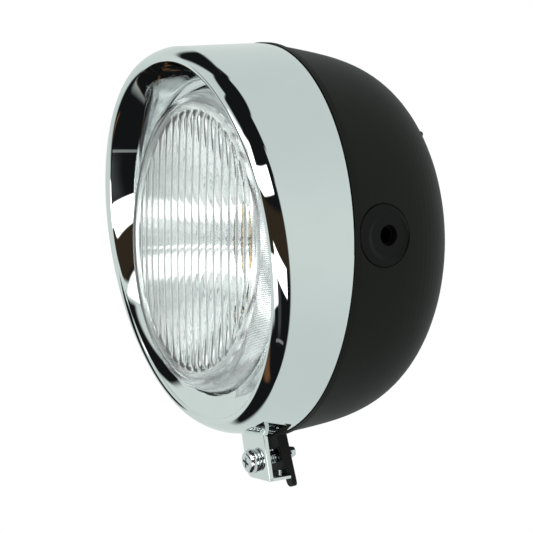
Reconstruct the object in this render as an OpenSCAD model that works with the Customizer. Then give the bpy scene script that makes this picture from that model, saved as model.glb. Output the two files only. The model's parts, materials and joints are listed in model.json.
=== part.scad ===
// Round motorcycle headlight: a deep black bowl, a slanted chrome ring that carries
// the fluted glass, and a clamp below that pulls the ring's tab to the bowl's lug.
// +Y runs rearwards along the beam axis, +X is one side, +Z is up. The origin is on
// the axis of the two side fixing holes, midway between them.

/* [Bowl] */
// Radius of the bowl's rim
bowl_r = 80.3; // [78:0.1:82]
// How far the rim stands proud of the ring
rim_proud = 0.3; // [0.2:0.05:0.5]
// Depth of the bowl behind the ring
bowl_depth = 66; // [63:0.5:72]
// Wall of the bowl
bowl_wall = 2.5; // [2:0.1:3]
// How much the bowl narrows for each millimetre rearwards
bowl_taper = 0.155; // [0.13:0.005:0.18]
// Roundness of the shoulder where side turns to back
bowl_shoulder = 4.6; // [4:0.1:5.4]
// Roundness of the back
bowl_back = 2.18; // [2:0.02:2.4]
// Width of the proud rim band
rim_band = 2.2; // [1.5:0.1:3]

/* [Ring] */
// How much smaller the ring's radius is at the crease than at the bowl
ring_taper = 1.9; // [1.5:0.1:2.3]
// Distance from the bowl's rim to the crease, at mid height
crease_depth = 27; // [25:0.5:29]
// Forward lean of the front edge, in millimetres for each millimetre of height
rim_lean = 0.14; // [0.1:0.01:0.16]
// Distance inwards from the crease to the middle of the rolled front edge
lip_in = 4.25; // [4:0.05:4.5]
// Distance forwards from the crease to the middle of the rolled edge
lip_forward = 6; // [5.5:0.25:6.5]
// Radius of the rolled edge
roll_r = 1.25; // [1.1:0.05:1.5]
// Thickness of the ring's sheet
ring_sheet = 0.9; // [0.7:0.05:1]
// Distance inwards from the rolled edge to the opening for the glass
wall_in = 10.95; // [10.5:0.05:11.2]
// Distance rearwards from the rolled edge to the seat of the glass
wall_back = 10.6; // [10.2:0.1:11]

/* [Glass] */
// Rise of the front face at its middle
glass_crown = 2.6; // [1.5:0.1:4]
// How far the glass stands forward of the seat, at its shoulder
glass_stand = 8.4; // [7:0.1:9.5]
// Thickness of the glass
glass_wall = 3.2; // [2.8:0.1:3.8]
// Width of one flute on the inner face
flute_pitch = 6.4; // [5:0.1:9]
// Depth of the flutes
flute_deep = 1.1; // [0.6:0.1:1.4]

/* [Optics] */
// Room kept behind the reflector for the bulb holder and the terminals
rear_room = 22.3; // [21.5:0.1:24]
// Radius of the reflector's neck
neck_r = 14; // [13.4:0.1:15]
// Radius of the main bulb's glass
bulb_r = 12.5; // [10:0.1:12.8]
// Height of the parking bulb below the beam axis
park_drop = 31; // [28:0.5:36]

/* [Side fixings] */
// Distance from the bowl's rim back to the fixing axis
fixing_back = 16.8; // [16:0.1:18]
// Height of the fixing axis above the beam axis
fixing_up = 4; // [0:0.5:6]
// Radius of the plastic bush
bush_r = 12.2; // [11.5:0.1:13]
// How far the hole lies behind the middle of its bush
bush_offset = 2.4; // [1.6:0.1:2.8]
// Radius of the bush's hole, for an 8 mm bolt
bush_hole_r = 4.1; // [4:0.05:4.3]
// Radius of the tapped hole in the steel insert, at the thread's crest
tapped_r = 3.4; // [3.3:0.05:3.5]
// Length of the steel insert
insert_len = 12; // [10:0.5:13]

/* [Clamp] */
// Width of the ring's tab and of the bowl's lug
tab_w = 20; // [18:0.5:22]
// Thickness of the tab
tab_sheet = 2; // [1.6:0.1:2.4]
// Backward lean of the tab and the screw
clamp_tilt = 9; // [6:0.5:10]
// Distance of the screw below the ring
screw_below = 10.4; // [10:0.1:11]
// Radius of the screw's shank
screw_r = 2.5; // [2.4:0.1:2.8]
// Clear gap between tab and lug at the screw
clamp_gap = 7.5; // [7:0.1:8.5]

/* [Cable entry] */
// Height of the cable entry below the beam axis
entry_drop = 22; // [18:0.5:26]
// Radius of the hole through the grommet
entry_r = 4.5; // [3.5:0.1:5.5]

/* [Hidden] */
$fn = 96;
gap = 0.3;
snug = 0.1;
eps = 0.01;

// Every radius and depth of the front follows from the bowl's rim.
ring_rear_r = bowl_r - rim_proud;
crease_r = ring_rear_r - ring_taper;
roll_at_r = crease_r - lip_in;
roll_depth = crease_depth + lip_forward;
opening_r = roll_at_r - wall_in;
seat_depth = roll_depth - wall_back;
screw_drop = ring_rear_r + screw_below;
// Longer than any wall that a boss or hole has to pass through
reach = ring_rear_r / 2;

// The fixing axis is the origin, so all that is drawn about the beam axis moves by this.
module lamp_frame() translate([0, -fixing_back, -fixing_up]) children();

// Turns a shape drawn about +Z so that it runs rearwards along +Y.
module along_beam() rotate([-90, 0, 0]) children();

// Turns a shape drawn about +Z so that it runs outwards on one side.
module along_side(side) rotate([0, 90 * side, 0]) children();

// A ring-shaped solid about the beam axis, between two radii and two depths.
module collar(outer, inner, from, to) {
    along_beam() translate([0, 0, from]) difference() {
        cylinder(r = outer, h = to - from);
        translate([0, 0, -1]) cylinder(r = inner, h = to - from + 2);
    }
}

// Bowl

outside_steps = 32;
inside_steps = 14;

// Radius of the bowl's outside at a depth y, as a tapered superellipse.
function bowl_radius(y, r0, depth) =
    (r0 - bowl_taper * y) * pow(1 - pow(min(y, depth) / depth, bowl_shoulder), 1 / bowl_back);

// Depths crowd towards the back, where the outline turns fastest.
function bowl_outline(r0, depth, steps) = [
    for (i = [0 : steps])
        let (y = depth * sin(90 * i / steps))
        [bowl_radius(y, r0, depth), y]
];

module bowl_solid(inset, steps = outside_steps) {
    outline = bowl_outline(ring_rear_r - inset, bowl_depth - inset, steps);
    along_beam() rotate_extrude() polygon(concat([[0, 0]], outline));
}

spigot_depth = 5;
spigot_r = ring_rear_r - ring_sheet - 0.7;
spigot_wall = 2.3;
hook_w = 14;
catch_w = 18;
catch_at = 3;
catch_deep = 2;
catch_drop = ring_rear_r - 6.5;
catch_h = 10;
notch_w = tab_w + 3;
notch_h = 12;
boss_r = bush_r + 3.4;
boss_in = ring_rear_r - 16;
block_boss_r = 5;
earth_boss_r = 4.5;
pilot_r = 1.5;
pilot_len = 9;
entry_y = bowl_depth - bowl_wall;
entry_pad_r = 12;
pad_front = entry_y - 0.6;
pad_rear = pad_front + bowl_wall + 0.9;
seat_cut = 8;
grommet_r = 9.6;
grommet_lip = 2.4;
entry_groove_r = 7.2;
nub_angle = 48;
nub_y = 53;
nub_r = 1.3;
nub_at = bowl_radius(nub_y, ring_rear_r, bowl_depth) - 0.6;

// The side hole lies a little behind the middle of its bush.
module side_axis(side) translate([0, fixing_back, fixing_up]) along_side(side) children();
module bush_axis(side) translate([0, -bush_offset, 0]) side_axis(side) children();

lug_sheet = 2.2;
lug_w = tab_w - 1;
lug_boss_r = 5.2;
lug_boss_h = 0.4;
lug_low = -8.5;
lug_tail = 12.6;
lug_tail_w = 5.2;
lug_corner = 2.2;
lug_rib_w = 1.8;
lug_rib_h = 2.2;
lug_rib_low = -5;
tab_front = -1.65;

// The clamp's own frame: origin where the screw meets the tab's front face, +Y along the screw.
module clamp_frame() translate([0, tab_front, -screw_drop]) rotate([clamp_tilt, 0, 0]) children();

lug_front = tab_sheet + clamp_gap;
lug_lean = 4.5;
lug_rise = screw_below + 2;
function lug_face(z) = lug_front - z * tan(lug_lean);

// The lug leans back more than the tab. Its lower edge is cut away on one side, and two
// ribs stiffen it towards the tab.
module lug_blank() {
    half = lug_w / 2;
    side = [
        [lug_face(lug_rise), lug_rise], [lug_face(-lug_tail), -lug_tail],
        [lug_face(-lug_tail) + lug_sheet, -lug_tail], [lug_face(lug_rise) + lug_sheet, lug_rise]
    ];
    front = [
        [-half, lug_rise + lug_corner], [half, lug_rise + lug_corner], [half, -lug_tail],
        [half - lug_tail_w, -lug_tail], [half - lug_tail_w, lug_low], [-half, lug_low]
    ];
    rib = [
        [lug_face(lug_rise), lug_rise], [lug_face(lug_rise) - lug_rib_h, lug_rise],
        [lug_face(lug_rib_low) - lug_rib_h, lug_rib_low + lug_rib_h],
        [lug_face(lug_rib_low), lug_rib_low], [lug_face(0) + 1, 0]
    ];
    clamp_frame() {
        intersection() {
            rotate([90, 0, 90]) translate([0, 0, -half]) linear_extrude(height = lug_w) polygon(side);
            translate([0, reach, 0]) rotate([90, 0, 0]) linear_extrude(height = 2 * reach)
                offset(r = lug_corner, $fn = 32) offset(delta = -lug_corner) polygon(front);
        }
        for (x = [-half, half - lug_rib_w])
            translate([x, 0, 0]) rotate([90, 0, 90]) linear_extrude(height = lug_rib_w) polygon(rib);
    }
}

module bowl() {
    lamp_frame() color([0.16, 0.16, 0.16]) difference() {
        union() {
            difference() {
                bowl_solid(0);
                translate([0, -eps, 0]) bowl_solid(bowl_wall, inside_steps);
            }
            collar(bowl_r, spigot_r - spigot_wall, 0, rim_band);
            collar(spigot_r, spigot_r - spigot_wall, -spigot_depth, eps);
            // Side bosses that carry the bushes
            intersection() {
                bowl_solid(1);
                for (side = [-1, 1])
                    bush_axis(side) translate([0, 0, boss_in]) cylinder(r = boss_r, h = reach);
            }
            // Catch that the ring's hook reaches behind
            intersection() {
                bowl_solid(1);
                translate([-catch_w / 2, catch_at, catch_drop])
                    cube([catch_w, catch_deep, catch_h]);
            }
            // Flat pad for the cable grommet
            translate([0, pad_front, -entry_drop])
                along_beam() cylinder(r = entry_pad_r, h = pad_rear - pad_front);
            // Boss for the terminal block, and one for the earth screw
            intersection() {
                bowl_solid(1);
                union() {
                    translate([0, block_rear, -block_drop]) along_beam()
                        cylinder(r = block_boss_r, h = reach);
                    translate([earth_x, earth_rear, -block_drop]) along_beam()
                        cylinder(r = earth_boss_r, h = reach);
                }
            }
            // Moulded pip at the upper rear
            intersection() {
                bowl_solid(-1);
                translate([cos(nub_angle) * nub_at, nub_y, sin(nub_angle) * nub_at])
                    sphere(r = nub_r, $fn = 24);
            }
            lug_blank();
            clamp_frame() along_beam() translate([0, 0, lug_front + lug_sheet / 2])
                cylinder(r = lug_boss_r, h = lug_sheet / 2 + lug_boss_h);
        }
        // Holes for the bushes
        for (side = [-1, 1])
            bush_axis(side) translate([0, 0, reach]) cylinder(r = bush_r + snug, h = 2 * reach);
        // Notches in the spigot for the hook and the tab
        translate([-hook_w / 2 - 1, -spigot_depth - 1, ring_rear_r - notch_h + 1])
            cube([hook_w + 2, spigot_depth + 1, notch_h]);
        translate([-notch_w / 2, -spigot_depth - 1, -ring_rear_r - 1])
            cube([notch_w, spigot_depth + 1, notch_h]);
        // Hole for the cable grommet, and a flat seat for its inner lip
        translate([0, pad_front - seat_cut, -entry_drop]) along_beam() {
            cylinder(r = entry_groove_r + snug, h = reach);
            cylinder(r = grommet_r + gap, h = seat_cut);
        }
        // Clearance hole for the screw
        clamp_frame() along_beam() translate([0, 0, tab_sheet]) cylinder(r = screw_r + gap, h = reach);
        // Pilot holes in the two inner bosses
        translate([0, block_rear - 1, -block_drop]) along_beam() cylinder(r = pilot_r, h = pilot_len);
        translate([earth_x, earth_rear - 1, -block_drop]) along_beam()
            cylinder(r = pilot_r, h = pilot_len - 1);
    }
}

// Chrome ring

ring_turns = 96;
shoulder_steps = 4;
roll_steps = 4;
wall_steps = 5;

function blend2(a, b, c, t) = (1 - t) * (1 - t) * a + 2 * t * (1 - t) * b + t * t * c;

// The skin that shows, from the bowl forwards over the roll and back to the seat.
// Each station is [radius, depth, lean]: lean shears the station forwards at the top.
roll_from = 45;
roll_to = -60;
roll_start = [roll_at_r + roll_r * sin(roll_from), -roll_depth - roll_r * cos(roll_from), rim_lean];
roll_end = [roll_at_r + roll_r * sin(roll_to), -roll_depth - roll_r * cos(roll_to), rim_lean];
crease = [crease_r, -crease_depth, rim_lean];
seat_outer = [opening_r + 3.3, -seat_depth - 1.2, 0];
shoulder_pull = roll_start + [1.95, 1.95, 0];
wall_pull = roll_end + [-3.5, 6.06, -rim_lean / 2];

ring_path = concat(
    [for (i = [0 : 2]) [ring_rear_r, -gap, 0] + (crease - [ring_rear_r, -gap, 0]) * i / 3],
    [for (i = [0 : shoulder_steps - 1])
        blend2(crease, shoulder_pull, roll_start, i / shoulder_steps)],
    [for (i = [0 : roll_steps - 1])
        let (a = roll_from + (roll_to - roll_from) * i / roll_steps)
        [roll_at_r + roll_r * sin(a), -roll_depth - roll_r * cos(a), rim_lean]],
    [for (i = [0 : wall_steps]) blend2(roll_end, wall_pull, seat_outer, i / wall_steps)],
    [[opening_r + 2, -seat_depth - 0.15, 0], [opening_r, -seat_depth, 0]]
);

// The back of the sheet lies one thickness behind the skin, square to it.
function sheet_back(path, t) = [
    for (i = [len(path) - 1 : -1 : 0])
        let (a = path[max(i - 1, 0)],
             b = path[min(i + 1, len(path) - 1)],
             d = [b[0] - a[0], b[1] - a[1]] / norm([b[0] - a[0], b[1] - a[1]]))
        [path[i][0] + d[1] * t, path[i][1] - d[0] * t, path[i][2]]
];

// A closed section carried round the beam axis, each station sheared by its own lean.
module leaning_revolve(section) {
    m = len(section);
    pts = [
        for (i = [0 : ring_turns - 1], s = section)
            let (a = 360 * i / ring_turns)
            [s[0] * cos(a), s[1] - s[2] * s[0] * sin(a), s[0] * sin(a)]
    ];
    faces = [
        for (i = [0 : ring_turns - 1], j = [0 : m - 1])
            let (k = (i + 1) % ring_turns, l = (j + 1) % m)
            each [[i * m + j, i * m + l, k * m + l], [i * m + j, k * m + l, k * m + j]]
    ];
    polyhedron(pts, faces);
}

tab_slot_front = 4.2;
tab_slot_len = 5;
tab_slot_h = 6;

module chrome_ring() {
    lamp_frame() color([0.8, 0.82, 0.82]) difference() {
        leaning_revolve(concat(ring_path, sheet_back(ring_path, ring_sheet)));
        // Notch that the tab passes through
        translate([-tab_w / 2 - gap, -tab_slot_front, -ring_rear_r - 2])
            cube([tab_w + 2 * gap, tab_slot_len, tab_slot_h]);
    }
}

// Steel hook at the top of the ring
hook_sheet = 1.3;
hook_front = -14;
hook_top = crease_r - 0.35;
module ring_hook() {
    low = catch_drop - gap;
    tip = catch_at + catch_deep + gap;
    strip = [
        [hook_front, hook_top], [-5.5, hook_top], [-1, low], [tip, low], [tip, low + 2.4],
        [tip + hook_sheet, low + 2.4], [tip + hook_sheet, low - hook_sheet],
        [-1.7, low - hook_sheet], [-6.1, hook_top - hook_sheet],
        [hook_front, hook_top - hook_sheet]
    ];
    lamp_frame() color([0.62, 0.63, 0.62])
        translate([-hook_w / 2, 0, 0]) rotate([90, 0, 90])
        linear_extrude(height = hook_w) polygon(strip);
}

// Chromed tab, with its foot bent rearwards and a short lip turned up
tab_corner = 3.5;
tab_low = -8;
tab_top = screw_below + 3.6;
foot_sheet = 1.4;
foot_droop = 4;
lip_w = 8;
lip_h = 1.5;
foot_len = lug_face(tab_low + foot_sheet + lip_h) - 2 * gap;
tab_flange_r = crease_r - ring_sheet + gap;
tab_flange_t = 1.6;
tab_flange_from = -10.2;
tab_flange_to = -2.2;
module ring_tab() {
    lamp_frame() color([0.8, 0.82, 0.82]) {
        difference() {
            union() {
                clamp_frame() {
                    translate([0, tab_sheet, 0]) rotate([90, 0, 0])
                        linear_extrude(height = tab_sheet) union() {
                        translate([-tab_w / 2, tab_low + tab_corner])
                            square([tab_w, tab_top - tab_low - tab_corner]);
                        translate([-tab_w / 2 + tab_corner, tab_low])
                            square([tab_w - tab_corner, 2 * tab_corner]);
                        translate([-tab_w / 2 + tab_corner, tab_low + tab_corner])
                            circle(r = tab_corner, $fn = 32);
                    }
                    translate([0, 0, tab_low]) rotate([-foot_droop, 0, 0]) {
                        translate([-tab_w / 2 + tab_corner, 0, 0])
                            cube([tab_w - tab_corner, foot_len, foot_sheet]);
                        translate([-lip_w / 2, foot_len - foot_sheet, 0])
                            cube([lip_w, foot_sheet, foot_sheet + lip_h]);
                    }
                }
                // Curved flange inside the ring, spot welded to it
                intersection() {
                    collar(tab_flange_r, tab_flange_r - tab_flange_t, tab_flange_from, tab_flange_to);
                    translate([-tab_w / 2, tab_flange_from, -ring_rear_r])
                        cube([tab_w, tab_flange_to - tab_flange_from, reach]);
                }
            }
            clamp_frame() along_beam() translate([0, 0, -tab_sheet])
                cylinder(r = screw_r + gap, h = 3 * tab_sheet);
        }
    }
}

// Glass and gasket

gasket_thick = 0.8;
flange_r = opening_r + 4.1;
flange_thick = 3;
gasket_front = -seat_depth + ring_sheet;
flange_front = gasket_front + gasket_thick;
flange_rear = flange_front + flange_thick;
skirt_r = opening_r - 0.6;
shoulder_r = skirt_r - 4;
face_at = -seat_depth - glass_stand;
crown_steps = 6;

module front_gasket() {
    lamp_frame() color([0.12, 0.12, 0.12])
        collar(flange_r - 0.3, opening_r + 0.4, gasket_front + eps, flange_front - eps);
}

// Half section of the glass: crowned face, rounded shoulder, skirt and flange.
function glass_crown_at(r) = face_at - glass_crown * (1 - pow(r / shoulder_r, 2));

glass_skin = concat(
    [for (i = [0 : crown_steps]) let (r = (shoulder_r - 2) * i / crown_steps) [r, glass_crown_at(r)]],
    [[shoulder_r + 0.2, face_at + 0.9], [shoulder_r + 1.6, face_at + 2.4]],
    [[skirt_r, flange_front], [flange_r, flange_front], [flange_r, flange_rear]]
);
glass_back = [
    [skirt_r - 2.2, flange_rear], [shoulder_r - 1.6, face_at + glass_wall + 1.4],
    [shoulder_r - 4, face_at + glass_wall], [0, face_at + glass_wall]
];

module glass_lens() {
    flute_field = shoulder_r - 5;
    flutes = floor(flute_field / flute_pitch);
    flute_r = (flute_pitch * flute_pitch / 4 + flute_deep * flute_deep) / (2 * flute_deep);
    flute_y = face_at + glass_wall - 0.2 - flute_deep + flute_r;
    lamp_frame() color([0.8, 0.87, 0.9, 0.5]) difference() {
        along_beam() rotate_extrude() polygon(concat(glass_skin, glass_back));
        // Vertical flutes on the inner face
        intersection() {
            along_beam() translate([0, 0, face_at]) cylinder(r = flute_field, h = 2 * glass_wall);
            for (i = [-flutes : flutes])
                translate([i * flute_pitch, flute_y, -flute_field])
                    cylinder(r = flute_r, h = 2 * flute_field);
        }
    }
}

// Reflector

reflector_sheet = 0.8;
reflector_r = opening_r - 0.9;
rim_front = flange_rear + snug;
reflector_depth = bowl_depth - rear_room;
vertex = rim_front + reflector_sheet + reflector_depth;
focal = reflector_r * reflector_r / (4 * reflector_depth);
parabola_steps = 14;
function dish(r) = vertex - r * r / (4 * focal);
park_r = 5.2;

module reflector() {
    radii = [for (i = [0 : parabola_steps]) neck_r + (reflector_r - neck_r) * i / parabola_steps];
    inner = [for (r = radii) [r, dish(r)]];
    outer = [
        for (i = [parabola_steps : -1 : 0]) [radii[i] + 0.6, dish(radii[i]) + reflector_sheet * 0.7]
    ];
    neck = vertex + 2;
    lamp_frame() color([0.85, 0.85, 0.83]) difference() {
        along_beam() rotate_extrude() polygon(concat(
            [[neck_r, neck]], inner, [[reflector_r, rim_front], [flange_r, rim_front],
            [flange_r, rim_front + reflector_sheet], [reflector_r + 0.6, rim_front + reflector_sheet]],
            outer, [[neck_r + 0.6, neck]]));
        translate([0, 0, -park_drop]) along_beam() cylinder(r = park_r, h = bowl_depth);
    }
}

// Spring clips that press the reflector and glass towards the seat
clip_count = 4;
clip_w = 9;
clip_sheet = 0.8;
clip_len = 11;
clip_bend = 6.4;
clip_foot_r = crease_r - ring_sheet - gap - 0.05;
module retaining_clips() {
    rear = rim_front + reflector_sheet + snug;
    strip = [
        [clip_foot_r, rear + clip_len], [clip_foot_r, rear - 0.5],
        [clip_foot_r - clip_sheet, rear - 0.5], [clip_foot_r - clip_sheet, rear + clip_bend - 0.8],
        [clip_foot_r - 3, rear + clip_bend], [flange_r - 1.2, rear], [flange_r - 2.8, rear],
        [clip_foot_r - 2.6, rear + clip_bend + 1.8]
    ];
    lamp_frame() color([0.55, 0.56, 0.56])
        for (i = [0 : clip_count - 1])
            rotate([0, 45 + 360 * i / clip_count, 0]) translate([0, 0, -clip_w / 2])
                linear_extrude(height = clip_w) polygon(strip);
}

// Main bulb and its holder

holder_r = neck_r + 2.4;
holder_front = vertex + 2.2;
holder_len = 15;
base_r = 9.6;
collar_r = neck_r - 0.4;

module bulb_holder() {
    lamp_frame() color([0.1, 0.1, 0.1]) difference() {
        union() {
            collar(holder_r + 2, base_r + 0.4, holder_front, holder_front + 2);
            collar(base_r + 3, base_r + 0.4, holder_front, holder_front + holder_len);
        }
        // Bayonet slots
        for (s = [-1, 1])
            translate([s * (base_r + 2) - 1.5, holder_front + 4, -1.5]) cube([3, 5, 3]);
    }
}

module holder_spring() {
    lamp_frame() color([0.6, 0.61, 0.6])
        translate([0, holder_front + 2.9, 0]) along_beam()
        rotate_extrude() translate([holder_r + 0.4, 0]) circle(r = 0.8, $fn = 20);
}

module bulb_base() {
    lamp_frame() color([0.72, 0.66, 0.45]) along_beam() {
        translate([0, 0, holder_front - 2.4]) cylinder(r = collar_r, h = 1.2);
        translate([0, 0, holder_front - 5.4]) cylinder(r1 = 8.4, r2 = base_r, h = 3.1);
        translate([0, 0, holder_front - 2.4]) cylinder(r = base_r, h = holder_len - 2);
    }
}

bulb_glass_front = holder_front - 5.4;
bulb_reach = 16;
bulb_neck_r = 7.4;
bulb_wall = 0.8;
bulb_centre = bulb_glass_front - bulb_reach;
bulb_end = bulb_glass_front - snug;
module bulb_glass() {
    turn = 38;
    ball = [for (i = [0 : 12])
        let (a = -90 + (90 + 90 - turn) * i / 12) [bulb_r * cos(a), bulb_centre + bulb_r * sin(a)]];
    lamp_frame() color([0.9, 0.93, 0.95, 0.4]) difference() {
        along_beam() rotate_extrude()
            polygon(concat(ball, [[bulb_neck_r, bulb_end], [0, bulb_end]]));
        along_beam() translate([0, 0, bulb_centre]) sphere(r = bulb_r - bulb_wall);
        along_beam() translate([0, 0, bulb_centre])
            cylinder(r = bulb_neck_r - 2 * bulb_wall, h = bulb_reach);
    }
}

filament_at = vertex - focal;
module bulb_filament() {
    post_r = 0.5;
    lamp_frame() color([0.75, 0.72, 0.65]) {
        for (x = [-3, 3])
            translate([x, filament_at, 0]) along_beam()
                cylinder(r = post_r, h = bulb_glass_front - filament_at, $fn = 16);
        translate([-3.4, filament_at, 0]) rotate([0, 90, 0]) cylinder(r = 0.7, h = 6.8, $fn = 16);
        translate([0, filament_at + 3, -2.4]) cube([7, 4, 0.6], center = true);
        translate([-0.5, filament_at + 4, -2.5]) cube([1, bulb_glass_front - filament_at - 4, 0.8]);
    }
}

module bulb_contacts() {
    lamp_frame() color([0.8, 0.68, 0.35])
        for (x = [-4.5, 0, 4.5])
            translate([x - 1.6, holder_front + holder_len - 4.2, -0.4]) cube([3.2, 12, 0.8]);
}

// Parking bulb in the lower half of the reflector
park_len = 14;
park_base_r = 3.5;
park_base_len = 12;
park_base_in = 6;
park_seat = dish(park_drop - park_r) + 2;
module parking_holder() {
    bore = park_base_r + snug;
    lamp_frame() color([0.1, 0.1, 0.1]) translate([0, 0, -park_drop]) {
        collar(park_r + 2, bore, park_seat, park_seat + 2);
        collar(park_r - 0.2, bore, park_seat - park_base_in - 1, park_seat + 1);
        collar(park_r + 0.4, bore, park_seat, park_seat + park_len);
    }
}

module parking_bulb_base() {
    lamp_frame() color([0.75, 0.7, 0.5]) translate([0, park_seat - park_base_in, -park_drop])
        along_beam() cylinder(r = park_base_r, h = park_base_len);
}

park_bulb_r = 3.2;
park_bulb_len = 6;
park_bulb_wall = 0.6;
module parking_bulb_glass() {
    bore = park_bulb_r - park_bulb_wall;
    lamp_frame() color([0.9, 0.93, 0.95, 0.4])
        translate([0, park_seat - park_base_in - snug, -park_drop]) rotate([90, 0, 0]) difference() {
            union() {
                cylinder(r = park_bulb_r, h = park_bulb_len);
                translate([0, 0, park_bulb_len]) sphere(r = park_bulb_r, $fn = 32);
            }
            translate([0, 0, -1]) cylinder(r = bore, h = park_bulb_len + 1);
            translate([0, 0, park_bulb_len]) sphere(r = bore, $fn = 32);
        }
}

module parking_filament() {
    lamp_frame() color([0.75, 0.72, 0.65]) translate([0, park_seat - park_base_in, -park_drop]) {
        for (x = [-1.2, 1.2])
            translate([x, -5.4, 0]) along_beam() cylinder(r = 0.25, h = 5.4, $fn = 16);
        translate([-1.4, -5.4, 0]) rotate([0, 90, 0]) cylinder(r = 0.35, h = 2.8, $fn = 16);
    }
}

// Side bushes and their tapped inserts

bush_flange_r = bush_r + 2.4;
bush_flange = 3;
bush_in = boss_in - bush_flange - snug;
insert_r = 6.2;
insert_flange = 0.8;
insert_in = bush_in - snug - insert_flange;
insert_front = insert_in + insert_len;
// A flat seat round the hole, parallel to the bowl's side, with a sloping edge
seat_r = 8.3;
seat_deep = 0.9;
seat_slope = 2.8;
function side_radius(y) = bowl_radius(y, ring_rear_r, bowl_depth);
seat_fall = side_radius(fixing_back - seat_r) - side_radius(fixing_back + seat_r);
seat_lean = atan(seat_fall / (2 * seat_r));

module side_bush(side) {
    lamp_frame() color([0.13, 0.13, 0.13]) difference() {
        union() {
            intersection() {
                bowl_solid(0);
                bush_axis(side) translate([0, 0, boss_in - 1]) cylinder(r = bush_r, h = reach);
            }
            bush_axis(side) translate([0, 0, bush_in]) cylinder(r = bush_flange_r, h = bush_flange);
        }
        side_axis(side) {
            translate([0, 0, reach]) cylinder(r = bush_hole_r, h = 2 * reach);
            translate([0, 0, reach]) cylinder(r = insert_r + snug, h = insert_front - reach + snug);
            translate([0, 0, side_radius(fixing_back)]) rotate([-seat_lean, 0, 0])
                translate([0, 0, -seat_deep])
                cylinder(r1 = seat_r, r2 = seat_r + 3 * seat_slope, h = 3 * seat_deep);
        }
    }
}

module side_insert(side) {
    lamp_frame() color([0.7, 0.7, 0.68]) side_axis(side) difference() {
        union() {
            translate([0, 0, insert_in]) cylinder(r = insert_r, h = insert_len);
            translate([0, 0, insert_in]) cylinder(r = insert_r + 1.8, h = insert_flange, $fn = 6);
        }
        translate([0, 0, insert_in - insert_len]) cylinder(r = tapped_r, h = 3 * insert_len);
    }
}

module left_bush() side_bush(-1);
module right_bush() side_bush(1);
module left_insert() side_insert(-1);
module right_insert() side_insert(1);

// Clamp hardware, all on the screw's axis

head_r = 5;
head_top_r = 3.4;
head_h = 2.6;
head_band = 1;
washer_r = 5.6;
washer_t = 0.8;
spring_t = 0.9;
nut_t = 2.4;
nut_flats = 8;
screw_end = 3.2;
screw_chamfer = 0.5;
cross_w = 1.1;
cross_l = 5.2;
cross_deep = 1.5;
boss_rear = lug_front + lug_sheet + lug_boss_h;
head_seat = -washer_t - spring_t;

module on_screw() lamp_frame() clamp_frame() along_beam() children();

module clamp_screw() {
    head_top = head_seat - head_h;
    tip = boss_rear + nut_t + screw_end;
    half = [
        [0, head_top], [head_top_r, head_top], [head_r, head_seat - head_band], [head_r, head_seat],
        [screw_r, head_seat], [screw_r, tip - screw_chamfer], [screw_r - screw_chamfer, tip], [0, tip]
    ];
    color([0.78, 0.79, 0.8]) on_screw() difference() {
        rotate_extrude() polygon(half);
        for (a = [0, 90])
            translate([0, 0, head_top - 1]) rotate([0, 0, a + 20])
                translate([-cross_l / 2, -cross_w / 2, 0]) cube([cross_l, cross_w, cross_deep + 1]);
    }
}

module clamp_washer() {
    color([0.75, 0.76, 0.77]) on_screw() translate([0, 0, -washer_t]) difference() {
        cylinder(r = washer_r, h = washer_t - eps);
        translate([0, 0, -1]) cylinder(r = screw_r + 0.2, h = washer_t + 2);
    }
}

module clamp_spring_washer() {
    color([0.68, 0.69, 0.7]) on_screw() translate([0, 0, head_seat]) difference() {
        cylinder(r = head_r - gap, h = spring_t - eps);
        translate([0, 0, -1]) cylinder(r = screw_r + 0.2, h = spring_t + 2);
        rotate([0, 0, 60]) translate([0, -0.5, -1]) cube([2 * head_r, 1, spring_t + 2]);
    }
}

module clamp_nut() {
    color([0.75, 0.76, 0.77]) on_screw() translate([0, 0, boss_rear + snug]) difference() {
        cylinder(r = nut_flats / 2 / cos(30), h = nut_t, $fn = 6);
        translate([0, 0, -1]) cylinder(r = screw_r + 0.05, h = nut_t + 2);
    }
}

// Terminal block on the bowl's inner back

block_drop = 40;
block_w = 30;
block_h = 11;
block_t = 9;
block_rear = bowl_depth - 14;
block_front = block_rear - block_t - snug;
earth_x = 27;
earth_rear = bowl_depth - 16;
pole_pitch = 7;
pole_xs = [for (i = [-1.5, -0.5, 0.5, 1.5]) i * pole_pitch];

module terminal_block() {
    lamp_frame() color([0.85, 0.83, 0.76]) difference() {
        translate([-block_w / 2, block_front, -block_drop - block_h / 2])
            cube([block_w, block_t, block_h]);
        translate([0, block_front - 1, -block_drop]) along_beam() cylinder(r = 1.7, h = 20);
        for (x = pole_xs) {
            translate([x, block_front - 1, -block_drop + 3]) along_beam() cylinder(r = 1.9, h = 6);
            translate([x, block_front + 5.5, -block_drop - 10]) cylinder(r = 1.6, h = 20);
        }
        for (s = [-0.5, 0.5])
            translate([s * block_w - s * 2 * 1.2 - 1.2, block_front - 1, -block_drop - 6])
                cube([2.4, 3, 3]);
    }
}

module terminal_screws() {
    lamp_frame() color([0.7, 0.7, 0.68])
        for (x = pole_xs)
            translate([x, block_front + 0.6, -block_drop + 3]) along_beam() difference() {
                cylinder(r = 1.8, h = 4.2);
                translate([-3, -0.3, -1]) cube([6, 0.6, 1.7]);
            }
}

module pan_screw(x, y, z, length) {
    translate([x, y, z]) along_beam() difference() {
        union() {
            translate([0, 0, -1.8]) cylinder(r = 2.8, h = 1.8);
            cylinder(r = 1.45, h = length);
        }
        translate([-4, -0.4, -2.8]) cube([8, 0.8, 2]);
    }
}

module terminal_fixing_screw() {
    lamp_frame() color([0.7, 0.7, 0.68])
        pan_screw(0, block_front, -block_drop, block_t + 7);
}

module earth_screw() {
    lamp_frame() color([0.8, 0.68, 0.35])
        pan_screw(earth_x, earth_rear - snug, -block_drop, 6);
}

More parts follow.
